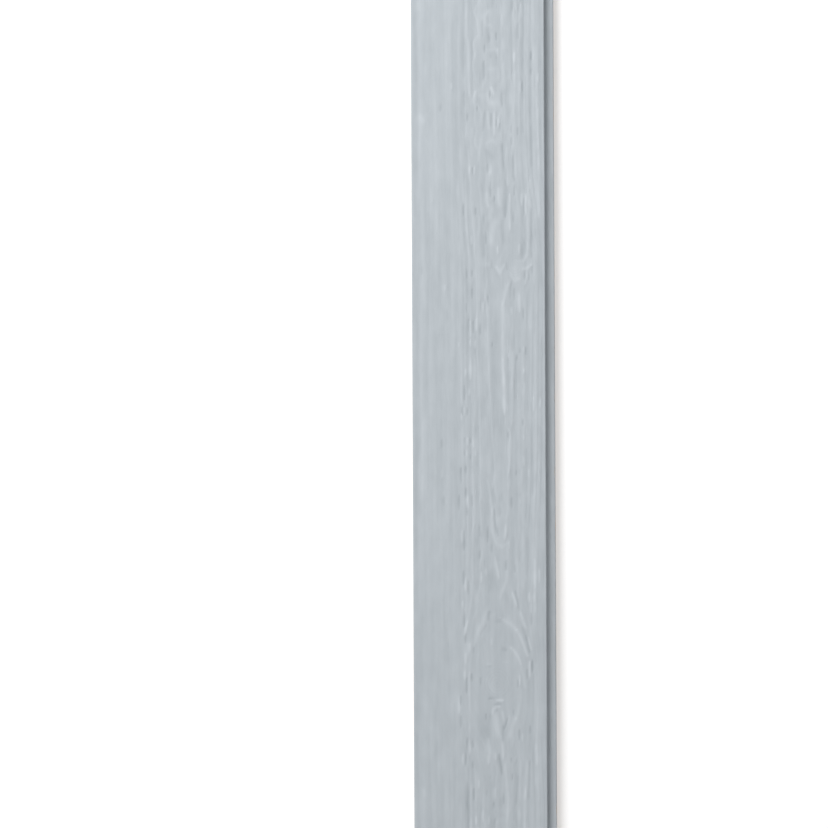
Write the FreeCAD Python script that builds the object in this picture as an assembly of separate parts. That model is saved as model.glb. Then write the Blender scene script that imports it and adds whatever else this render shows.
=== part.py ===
"""One softwood tongue and groove board, brushed and painted on its face, lying on its back.

The board runs along Y. X is across it, with the groove on the -X edge and the tongue on the +X edge,
and Z is up through its thickness. The origin is at the middle of the back, at the centre of the
overall width. All sizes are in millimetres.
"""

import FreeCAD, Part
import math
import os

from FreeCAD import Vector

# The stock
board_length = 2000.0
cover_width = 135.0  # what shows of one board when laid, from edge to edge of the face
thickness = 19.0

# The groove, which the next board's tongue enters
face_lip = 7.2  # wood between the face and the groove
groove_mouth = 6.4  # height of the groove at its mouth
groove_root = 6.0  # height of the groove at its bottom
groove_depth = 10.8
groove_corner = 0.8  # radius in the bottom corners of the groove
lip_ease = 0.5  # radius on the two lips of the groove
back_setback = 0.8  # how much shorter the back lip is, so that the faces close first

# The tongue, made to fit a groove of the size above
tongue_play = 0.2  # clearance above and below the tongue
tip_play = 0.8  # clearance left between the tongue's tip and the bottom of the groove
tip_corner = 1.4  # radius on the two corners of the tongue's tip
tongue_fillet = 0.3  # radius where the tongue meets its shoulders

# Eased edges
face_arris = 1.0  # radius along both edges of the face
back_arris = 0.8  # radius along both edges of the back
end_arris = 0.5  # bevel across the face at each sawn end

# The stress relief grooves in the back
relief_count = 3
relief_width = 9.0  # at the back
relief_depth = 1.8
relief_slope = 60.0  # degrees from the back to the side of a relief groove
relief_corner = 0.6

tongue_length = groove_depth - tip_play
overall_width = cover_width + tongue_length

groove_edge = -overall_width / 2
shoulder = groove_edge + cover_width
tongue_tip = shoulder + tongue_length
joint_height = thickness - face_lip - groove_mouth / 2  # mid height of tongue and groove


def rounded_wire(corners):
    """A closed wire in the XZ plane through (x, z, radius) corners, each rounded to its radius."""
    entries, exits, arcs = [], [], []
    for index, (x, z, radius) in enumerate(corners):
        corner = Vector(x, 0, z)
        before = Vector(corners[index - 1][0], 0, corners[index - 1][1])
        after_x, after_z, _ = corners[(index + 1) % len(corners)]
        to_before = (before - corner).normalize()
        to_after = (Vector(after_x, 0, after_z) - corner).normalize()
        half = to_before.getAngle(to_after) / 2
        trim = radius / math.tan(half)
        inward = (to_before + to_after).normalize()
        entries.append(corner + to_before * trim)
        exits.append(corner + to_after * trim)
        arcs.append(corner + inward * (radius / math.sin(half) - radius))
    edges = []
    for index, (_, _, radius) in enumerate(corners):
        edges.append(Part.LineSegment(exits[index - 1], entries[index]).toShape())
        if radius > 0:
            edges.append(Part.Arc(entries[index], arcs[index], exits[index]).toShape())
    return Part.Wire(edges)


def back_corners():
    """Corners along the back from the groove edge to the tongue edge, with its relief grooves."""
    inset = relief_depth / math.tan(math.radians(relief_slope))
    pitch = cover_width / (relief_count + 1)
    corners = [(groove_edge + back_setback, 0, back_arris)]
    for index in range(relief_count):
        middle = groove_edge + pitch * (index + 1)
        corners += [
            (middle - relief_width / 2, 0, 0),
            (middle - relief_width / 2 + inset, relief_depth, relief_corner),
            (middle + relief_width / 2 - inset, relief_depth, relief_corner),
            (middle + relief_width / 2, 0, 0),
        ]
    corners.append((shoulder, 0, back_arris))
    return corners


def tongue_corners():
    """Corners of the tongue, from its root on the back side to its root on the face side."""
    root = groove_mouth / 2 - tongue_play
    tip = groove_root / 2 - tongue_play
    return [
        (shoulder, joint_height - root, tongue_fillet),
        (tongue_tip, joint_height - tip, tip_corner),
        (tongue_tip, joint_height + tip, tip_corner),
        (shoulder, joint_height + root, tongue_fillet),
    ]


def groove_corners():
    """Corners of the groove, from its lip on the face side to its lip on the back side."""
    bottom = groove_edge + groove_depth
    narrowing = (groove_mouth - groove_root) / 2 / groove_depth
    back_mouth = groove_mouth / 2 - narrowing * back_setback
    return [
        (groove_edge, joint_height + groove_mouth / 2, lip_ease),
        (bottom, joint_height + groove_root / 2, groove_corner),
        (bottom, joint_height - groove_root / 2, groove_corner),
        (groove_edge + back_setback, joint_height - back_mouth, lip_ease),
    ]


def running_profile():
    """The cross-section that the moulder cuts along the whole board."""
    face_edges = [(shoulder, thickness, face_arris), (groove_edge, thickness, face_arris)]
    return Part.Face(
        rounded_wire(back_corners() + tongue_corners() + face_edges + groove_corners())
    )


def side_outline():
    """The board seen from its edge, with the bevel where each end meets the face."""
    half = board_length / 2
    points = [
        (-half, 0),
        (half, 0),
        (half, thickness - end_arris),
        (half - end_arris, thickness),
        (-half + end_arris, thickness),
        (-half, thickness - end_arris),
    ]
    vectors = [Vector(groove_edge, y, z) for y, z in points]
    return Part.Face(Part.makePolygon(vectors + vectors[:1]))


def make_board():
    """The profile run to length, then sawn square and eased at both ends."""
    profile = running_profile()
    profile.translate(Vector(0, -board_length / 2, 0))
    moulded = profile.extrude(Vector(0, board_length, 0))
    ends = side_outline().extrude(Vector(overall_width, 0, 0))
    return moulded.common(ends).Solids[0]


os.makedirs("parts", exist_ok=True)
board = make_board()
board.exportStep("parts/board.step")

box = board.BoundBox
print("valid", board.isValid(), "volume cm3", round(board.Volume / 1000, 2))
print("size mm", round(box.XLength, 3), round(box.YLength, 3), round(box.ZLength, 3))
print("x", round(box.XMin, 3), round(box.XMax, 3), "z", round(box.ZMin, 3), round(box.ZMax, 3))
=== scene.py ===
# Spruce tongue and groove board, brushed and painted on its face, lying on its back.
# It runs along Y, with the groove on the -X edge, the tongue on the +X edge and the face up.
import math

import bpy
import numpy as np
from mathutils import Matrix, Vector, geometry


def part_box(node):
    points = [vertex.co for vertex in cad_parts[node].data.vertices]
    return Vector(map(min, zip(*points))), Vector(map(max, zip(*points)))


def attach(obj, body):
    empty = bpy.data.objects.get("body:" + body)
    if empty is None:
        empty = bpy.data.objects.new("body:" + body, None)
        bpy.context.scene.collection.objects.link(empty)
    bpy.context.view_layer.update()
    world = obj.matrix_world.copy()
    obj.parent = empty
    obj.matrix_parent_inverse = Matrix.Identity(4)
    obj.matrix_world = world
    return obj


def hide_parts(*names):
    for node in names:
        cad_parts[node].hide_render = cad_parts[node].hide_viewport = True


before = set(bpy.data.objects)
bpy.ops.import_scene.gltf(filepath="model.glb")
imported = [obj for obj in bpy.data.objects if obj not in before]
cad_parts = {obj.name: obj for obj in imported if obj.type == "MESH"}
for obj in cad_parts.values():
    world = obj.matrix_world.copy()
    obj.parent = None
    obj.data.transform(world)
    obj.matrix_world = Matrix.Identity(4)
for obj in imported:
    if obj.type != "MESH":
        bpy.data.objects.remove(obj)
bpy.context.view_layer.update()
mm = 0.001  # the dictionaries are in millimetres, and the scene is in metres

lowCorner, highCorner = (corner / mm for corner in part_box("board"))
grooveEdge, tongueTip = lowCorner.x, highCorner.x
nearEnd, farEnd = lowCorner.y, highCorner.y
boardWidth, boardLength, thickness = tongueTip - grooveEdge, farEnd - nearEnd, highCorner.z
sizes = [round(size, 2) for size in (boardWidth, boardLength, thickness)]
print("board from the frame, in mm:", *sizes)


# Camera

picture = {
    "sideInView": 838.6,  # how much of the board's length the picture takes in
    "middleAcross": 1.6,  # the middle of the picture, from the groove edge
    "middleAlong": 0.0,
    "roll": 0.264,  # degrees that the board's far end leans to the left
    "height": 3000.0,  # of the camera over the face
    "sensor": 36.0,
    "clip": (0.1, 100.0),  # in metres
    "workedUpTo": 430.0,  # each way from the middle, the length that is worked as the picture shows
}


def placeCamera():
    data = bpy.data.cameras.new("camera")
    data.sensor_width = picture["sensor"]
    data.lens = picture["sensor"] * picture["height"] / picture["sideInView"]
    data.clip_start, data.clip_end = picture["clip"]
    camera = bpy.data.objects.new("camera", data)
    bpy.context.scene.collection.objects.link(camera)
    across = grooveEdge + picture["middleAcross"]
    camera.location = Vector((across, picture["middleAlong"], thickness + picture["height"])) * mm
    camera.rotation_euler = (0, 0, math.radians(-picture["roll"]))
    bpy.context.scene.camera = camera


placeCamera()


# The moulded section

section = {
    "faceLip": 7.2,  # wood between the face and the groove
    "grooveMouth": 6.4,
    "grooveRoot": 6.0,
    "grooveDepth": 10.8,
    "grooveCorner": 0.8,
    "lipEase": 0.5,
    "backSetback": 0.8,  # how much shorter the back lip is
    "tonguePlay": 0.2,
    "tipPlay": 0.8,
    "tipCorner": 1.4,
    "tongueFillet": 0.3,
    "faceArris": 1.0,
    "backArris": 0.8,
    "endArris": 0.5,
    "reliefCount": 3,  # stress relief grooves in the back
    "reliefWidth": 9.0,
    "reliefDepth": 1.8,
    "reliefSlope": 60.0,
    "reliefCorner": 0.6,
    "arcSteps": 4,
    "faceStep": 0.96,  # widest step of the mesh across the face
    "otherStep": 3.6,  # and across the other sides
    "samePoint": 0.0001,  # points nearer than this are one
}

shoulder = tongueTip - section["grooveDepth"] + section["tipPlay"]
coverWidth = shoulder - grooveEdge
jointHeight = thickness - section["faceLip"] - section["grooveMouth"] / 2


def roundCorner(before, corner, after, radius):
    # points along the arc that eases one corner of the section
    if not radius:
        return [corner]
    toBefore = (before - corner).normalized()
    toAfter = (after - corner).normalized()
    half = toBefore.angle(toAfter) / 2
    start = corner + toBefore * (radius / math.tan(half))
    end = corner + toAfter * (radius / math.tan(half))
    centre = corner + (toBefore + toAfter).normalized() * (radius / math.sin(half))
    steps = section["arcSteps"]
    spokes = [(start - centre).lerp(end - centre, i / steps) for i in range(steps + 1)]
    return [centre + spoke.normalized() * radius for spoke in spokes]


def traceSection(corners, widestStep):
    # (x, z, radius) corners to a line of points, with long runs divided
    places = [Vector(corner[:2]) for corner in corners]
    eased = [places[0]]
    for i in range(1, len(corners) - 1):
        eased += roundCorner(places[i - 1], places[i], places[i + 1], corners[i][2])
    eased.append(places[-1])
    line = [eased[0]]
    for point in eased[1:]:
        start, run = line[-1], point - line[-1]
        if run.length < section["samePoint"]:
            continue
        parts = math.ceil(run.length / widestStep)
        line += [start + run * (i / parts) for i in range(1, parts + 1)]
    return np.array([tuple(point) for point in line])


def faceCorners():
    edge = thickness - section["faceArris"]
    return [
        (grooveEdge, edge, 0),
        (grooveEdge, thickness, section["faceArris"]),
        (shoulder, thickness, section["faceArris"]),
        (shoulder, edge, 0),
    ]


def tongueCorners():
    root = section["grooveMouth"] / 2 - section["tonguePlay"]
    tip = section["grooveRoot"] / 2 - section["tonguePlay"]
    return [
        (shoulder, jointHeight + root, section["tongueFillet"]),
        (tongueTip, jointHeight + tip, section["tipCorner"]),
        (tongueTip, jointHeight - tip, section["tipCorner"]),
        (shoulder, jointHeight - root, section["tongueFillet"]),
    ]


def backCorners():
    inset = section["reliefDepth"] / math.tan(math.radians(section["reliefSlope"]))
    half = section["reliefWidth"] / 2
    corners = [(shoulder, 0, section["backArris"])]
    for i in range(section["reliefCount"], 0, -1):
        middle = grooveEdge + coverWidth * i / (section["reliefCount"] + 1)
        corners += [
            (middle + half, 0, 0),
            (middle + half - inset, section["reliefDepth"], section["reliefCorner"]),
            (middle - half + inset, section["reliefDepth"], section["reliefCorner"]),
            (middle - half, 0, 0),
        ]
    return corners + [(grooveEdge + section["backSetback"], 0, section["backArris"])]


def grooveCorners():
    bottom = grooveEdge + section["grooveDepth"]
    narrowing = (section["grooveMouth"] - section["grooveRoot"]) / 2 / section["grooveDepth"]
    backMouth = section["grooveMouth"] / 2 - narrowing * section["backSetback"]
    return [
        (grooveEdge + section["backSetback"], jointHeight - backMouth, section["lipEase"]),
        (bottom, jointHeight - section["grooveRoot"] / 2, section["grooveCorner"]),
        (bottom, jointHeight + section["grooveRoot"] / 2, section["grooveCorner"]),
        (grooveEdge, jointHeight + section["grooveMouth"] / 2, section["lipEase"]),
    ]


# The tree that the board was sawn from: its growth rings, bent round the knots

stem = {
    # where the rings lie flattest, as (along, across from the groove edge)
    "spine": ((-1000, 70), (-700, 78), (-420, 92), (-274, 87), (-128, 90), (40, 90), (161, 90),
              (250, 81), (420, 79), (700, 84), (1000, 92)),
    # how far under the face the pith runs, as (along, depth)
    "pithDepth": ((-1000, 24), (-700, 29), (-420, 27), (-200, 29.5), (-128, 29), (0, 26.5), (160, 25),
                  (300, 26), (420, 25), (700, 28), (1000, 25)),
    # radii of the rings
    "ringRadii": (0, 6, 12, 18, 24, 29, 35.3, 40.3, 44.6, 47.8, 52.4, 56, 61, 66, 73, 79, 88, 96,
                  104, 112),
    # how dimpled the wood is where the rings lie flat, as (along, rings)
    "dimples": ((-1000, 0.3), (-600, 0.5), (-420, 0.55), (-330, 0.4), (-200, 0.35), (-110, 0.45),
                (-60, 0.12), (70, 0.10), (130, 0.35), (200, 0.55), (300, 0.75), (420, 0.7),
                (1000, 0.4)),
    "waverOnSlope": 0.35,  # how much the rings waver where they stand steep, against 1 where flat
    "knotPithAcross": 88.0,
    "knotPithDepth": 26.5,
    "bendOver": (0.75, 1.75),  # away from a knot, in its own sizes, where the rings' bend fades
    "liftOver": (0.7, 1.25),  # and where their lift does
    "knotRings": 5,
}

# Each knot: its middle and half width on the face, how much longer than wide it is, how far around
# it the rings are bent, how close they come to it, how many it lifts and how clearly they show there
knots = (
    {"across": 105.0, "along": 151.0, "half": 11.0, "longer": 1.3,
     "wide": 15.0, "long": 27.0, "pinch": 0.5, "lift": 1.0, "shown": 0.4},
    {"across": 84.5, "along": -273.0, "half": 15.0, "longer": 1.15,
     "wide": 29.0, "long": 64.0, "pinch": 0.3, "lift": 1.15, "shown": 0.35},
    {"across": 52.0, "along": 604.0, "half": 9.0, "longer": 1.3,
     "wide": 16.0, "long": 38.0, "pinch": 0.4, "lift": 1.2, "shown": 1.7},
    {"across": 111.0, "along": 588.0, "half": 6.0, "longer": 1.5,
     "wide": 10.0, "long": 24.0, "pinch": 0.5, "lift": 0.8, "shown": 1.7},
    {"across": 74.0, "along": -706.0, "half": 14.0, "longer": 1.15,
     "wide": 25.0, "long": 58.0, "pinch": 0.35, "lift": 1.3, "shown": 1.7},
    {"across": 25.0, "along": -684.0, "half": 4.0, "longer": 1.4,
     "wide": 8.0, "long": 20.0, "pinch": 0.5, "lift": 0.7, "shown": 1.7},
    {"across": 96.0, "along": 900.0, "half": 8.0, "longer": 1.25,
     "wide": 14.0, "long": 33.0, "pinch": 0.45, "lift": 1.1, "shown": 1.7},
)

# How the rings and the marks waver: by how much, over what width and length, and the seed
wavers = {
    "drift": (2.2, 45, 160, 11),  # in mm, and the next three in rings
    "wave": (0.22, 16, 60, 3),
    "ripple": (0.10, 6, 30, 5),
    "dimple": (1.0, 7.5, 11, 9),
    "ringFading": (0.55, 6, 16, 17),
    "slowFading": (0.25, 20, 90, 19),
    "rimGaps": (1.0, 9, 12, 27),
    "markDrift": (0.4, 30, 45, 21),  # in mm
    "markSwell": (0.3, 4, 9, 25),
    "markFading": (0.42, 5, 11, 23),
}


def cornerValue(ix, iy, iz, seed):
    # one repeatable number from -1 to 1 for each corner of the lattice
    n = ix * 374761393 + iy * 668265263 + iz * 1440670441 + seed * 974634777
    n = (n ^ (n >> 13)) * 1274126177 & 0x7FFFFFFF
    n = (n ^ (n >> 16)) * 668265263 & 0x7FFFFFFF
    return (n >> 7 & 0xFFFF) / 32767.5 - 1


def softNoise(x, y, z, seed):
    # smooth noise from -1 to 1, about one bump to a unit
    cells = [np.floor(value).astype(np.int64) for value in (x, y, z)]
    shares = [value - cell for value, cell in zip((x, y, z), cells)]
    shares = [share * share * (3 - 2 * share) for share in shares]
    total = 0
    for corner in np.ndindex(2, 2, 2):
        weight = 1
        for share, side in zip(shares, corner):
            weight = weight * (share if side else 1 - share)
        total = total + weight * cornerValue(*(cell + side for cell, side in zip(cells, corner)), seed)
    return total


def alongTrack(track, y):
    # a smooth line through (along, value) points
    at, value = np.array(track, float).T
    slope = np.gradient(value, at)
    i = np.clip(np.searchsorted(at, y) - 1, 0, len(at) - 2)
    span = at[i + 1] - at[i]
    t = np.clip((y - at[i]) / span, 0, 1)
    ease = t * t * (3 - 2 * t)
    return (
        value[i] * (1 - ease)
        + value[i + 1] * ease
        + span * t * (1 - t) * (slope[i] * (1 - t) - slope[i + 1] * t)
    )


def smoothStep(value, start, end):
    share = np.clip((value - start) / (end - start), 0, 1)
    return share * share * (3 - 2 * share)


def waver(name, x, y, z=None):
    # without z it is the same at every height
    size, across, along, seed = wavers[name]
    return size * softNoise(x / across, y / along, x * 0 if z is None else z / across, seed)


def ringAge(x, y, z):
    # how many rings lie between the pith and each point
    across = x - grooveEdge
    lifted = 0
    for knot in knots:
        beside = across - knot["across"]
        reach = np.hypot(beside / knot["wide"], (y - knot["along"]) / knot["long"])
        pinch = knot["pinch"] + (1 - knot["pinch"]) * smoothStep(reach, *stem["bendOver"])
        across = knot["across"] + beside * pinch
        lifted = lifted + knot["lift"] * (1 - smoothStep(reach, *stem["liftOver"]))
    fromSpine = across - alongTrack(stem["spine"], y) + waver("drift", x, y, z)
    fromPith = z - thickness + alongTrack(stem["pithDepth"], y)
    radius = np.hypot(fromSpine, fromPith)
    radii = np.array(stem["ringRadii"], float)
    age = np.interp(radius, radii, np.arange(len(radii)))
    flatness = (fromPith / np.maximum(radius, 1)) ** 4
    share = stem["waverOnSlope"] + (1 - stem["waverOnSlope"]) * flatness
    age = age + share * (waver("wave", x, y, z) + waver("ripple", x, y, z))
    age = age + flatness * alongTrack(stem["dimples"], y) * waver("dimple", x, y, z)
    return age - lifted


def knotReach(x, y, z):
    # 0 at the heart of the nearest knot and 1 at its rim. A knot narrows towards the pith.
    grown = np.maximum(z - thickness + stem["knotPithDepth"], 1) / stem["knotPithDepth"]
    fromPith = (x - grooveEdge - stem["knotPithAcross"]) / grown
    nearest = np.full_like(x, np.inf)
    for knot in knots:
        beside = (fromPith - knot["across"] + stem["knotPithAcross"]) / knot["half"]
        beyond = (y - knot["along"]) / (knot["half"] * knot["longer"]) / grown
        nearest = np.minimum(nearest, np.hypot(beside, beyond))
    return nearest


# What brushing and painting made of the face

brushing = {
    "ridgeDepth": 0.24,  # how far the early wood is brushed out between the rings
    "climb": 1.8,  # how late in its growth a ring hardens
    "dropEarly": 0.05,  # how far before the next ring it has dropped halfway, in rings
    "dropWidth": 1.7,
    "dropRange": (0.06, 0.6),  # the shortest and the longest drop, in rings
    "strokeDepth": 0.18,
    "planedOff": 0.12,  # how far the tops of the rings lie under the highest strokes
    "floor": 0.02,  # and those under the sharp edge of the section
    "plainUpTo": 42.0,  # the rings are faint from the groove edge to here
    "shownFrom": 64.0,
    "plainShare": 0.15,
    "ringTurn": 0.64,  # how far before its start a ring takes on its own strength, in rings
    "ringSeed": 5,
    "everyRing": 0.45,  # what every ring shows
    "ownShare": 0.55,  # and up to this much more
    "shownRange": (0.08, 1.4),
    "moreBeyond": 0.5,  # how much clearer they are beyond the picture, where no marks are drawn
    "beyondFade": 60.0,
    "calmOver": (1.0, 2.5),  # away from a knot, in its own sizes, where its clearness fades
    "knotDepth": 0.05,
    "knotEdge": (0.85, 1.1),
    "rimDepth": 0.12,
    "rimWidth": 0.07,
    "rimGaps": (-0.1, 0.4),
}

# The marks that show most on the paint, as half width, strength and the (across, along) points
# that each runs through. Pale ones stand a little proud, and dark ones, below 0, a little low.
grainMarks = (
    # painted shade along both edges of the face: the paint is darker there, and these marks lie a
    # little low
    (3.6, -0.45, ((4.5, 1000), (4.5, 200), (4.5, -1000))),
    (2.4, -0.30, ((131.5, 1000), (131.5, -1000))),
    # beside the groove edge
    (2.4, 0.35, ((12, 900), (10.5, 560), (10.5, 430), (9, 320), (11, 220), (11, 150))),
    (2.2, 0.40, ((10, 140), (10, 10), (11, -50), (10, -130), (10, -430), (12, -640))),
    (2.0, 0.35, ((20, 290), (20, 215))),
    (2.2, 0.40, ((19, 135), (19, 0))),
    (4.0, 0.55, ((9, 300), (12, 297))),
    (3.4, 0.50, ((8, 416), (9, 410))),
    (3.0, 0.55, ((10, -380), (11, -386))),
    # left of the knots
    (1.3, 0.75, ((57, 600), (57, 383), (59, 372), (59, 350), (59.5, 322))),
    (1.2, -0.50, ((62, 378), (62, 322))),
    (1.4, -0.60, ((54.5, 520), (54.5, 342))),
    (1.4, 0.45, ((71.5, 304), (70.5, 275), (68, 256))),
    (1.2, 0.40, ((61.5, 290), (61, 262))),
    (1.4, 0.45, ((55, 238), (56, 196), (58, 160))),
    (1.5, 0.55, ((69, 200), (68.5, 160), (68.5, 115))),
    (3.4, -0.75, ((73, 200), (73, 161))),
    (1.2, 0.45, ((63.5, 60), (63.5, -5), (61.5, -30))),
    (1.2, 0.50, ((49.5, 38), (49.5, 12))),
    (2.8, 0.40, ((74.5, 84), (74, 17))),
    (3.4, 0.28, ((75, -5), (76, -35), (78, -60))),
    (1.3, 0.40, ((62, -62), (63, -105))),
    (1.2, 0.70, ((57, -262), (56.5, -330))),
    (1.6, -1.00, ((54.5, -373), (54.5, -430), (56, -560))),
    (1.3, 0.60, ((58.5, -375), (58.5, -430), (60, -560))),
    (1.2, 0.50, ((51, -375), (51, -430))),
    (1.6, 0.35, ((38, -350), (38, -425))),
    (1.3, -1.10, ((54.5, -329), (53.5, -342), (52.5, -356))),
    # from the far knot to the end
    (1.2, -0.45, ((90.5, 480), (90.5, 335))),
    (2.0, -1.10, ((92, 272), (93.8, 245), (95.5, 226), (96, 219), (95.2, 199))),
    (2.6, 0.70, ((94, 560), (94.5, 330))),
    (2.2, 0.50, ((94, 322), (95, 285))),
    (2.0, 0.60, ((97, 268), (98, 232))),
    (1.6, -0.85, ((102.5, 500), (102.5, 345))),
    (1.2, -1.15, ((103, 262), (104, 236))),
    (1.4, 0.85, ((107, 520), (105.5, 400), (104.5, 290), (105.5, 240))),
    (1.3, -0.85, ((115, 480), (114.5, 400), (113.5, 340), (113.5, 285))),
    (1.7, 0.40, ((118, 480), (118, 368), (117.5, 200))),
    (1.1, -0.55, ((122, 375), (122, 250))),
    (3.0, 0.45, ((126.5, 372), (127, 200))),
    (1.3, 0.80, ((129, 308), (129, 200))),
    # between the knots
    (2.0, 0.95, ((92, 112), (92, 55))),
    (1.8, 1.60, ((92, 55), (93, 25), (93.5, 0))),
    (1.6, -0.65, ((97, 56), (97, 10))),
    (5.0, -0.35, ((84.5, 92), (84, 20), (85, -60))),
    (1.3, 0.80, ((102, 62), (101.5, 14), (101, -12))),
    (1.2, -0.60, ((105, 58), (105, 15))),
    (1.6, 0.45, ((108, 30), (108, -55))),
    (1.3, 0.50, ((113.5, 30), (113.5, -20))),
    (1.5, 0.85, ((97.5, -16), (99.5, -24), (99, -40), (98.5, -52), (97.5, -60), (97, -77))),
    (1.5, 0.40, ((97, -77), (96, -98), (94, -118), (92.5, -127))),
    (4.0, 0.50, ((121, 108), (121, 88))),
    (2.6, 0.45, ((126, 180), (124.5, 80), (124, 4), (124, -200))),
    (1.1, -0.55, ((121, -18), (121.5, -82))),
    (1.2, -0.45, ((115.5, -35), (115.5, -165))),
    (1.6, 0.45, ((111, -58), (111, -150))),
    # short of the near knot
    (2.4, 0.55, ((125, -255), (125, -420), (124, -560))),
    (1.7, 0.80, ((92.5, -355), (94, -378), (95.5, -392), (94.5, -425), (91, -600))),
    (2.6, -0.45, ((87.5, -390), (87.5, -430))),
    (1.5, 0.80, ((108.5, -352), (108, -375), (106.5, -395), (106, -430), (107, -540))),
    (1.4, 0.80, ((115, -352), (114, -378), (112, -395), (112, -425))),
    (1.1, -0.60, ((105.5, -368), (104, -395))),
    (1.1, -0.90, ((117.5, -352), (116.5, -390))),
    (1.8, 0.60, ((124.3, -336), (124.3, -355))),
    # beyond the picture
    (1.6, 0.50, ((101, 700), (103, 830))),
    (1.4, 0.45, ((83, 640), (80, 760), (84, 900))),
    (1.5, -0.40, ((119, 690), (120, 880))),
    (1.5, 0.50, ((47, -790), (50, -960))),
    (1.5, 0.45, ((104, -640), (108, -800), (105, -980))),
    (1.4, -0.40, ((98, -820), (97, -960))),
)

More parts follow.
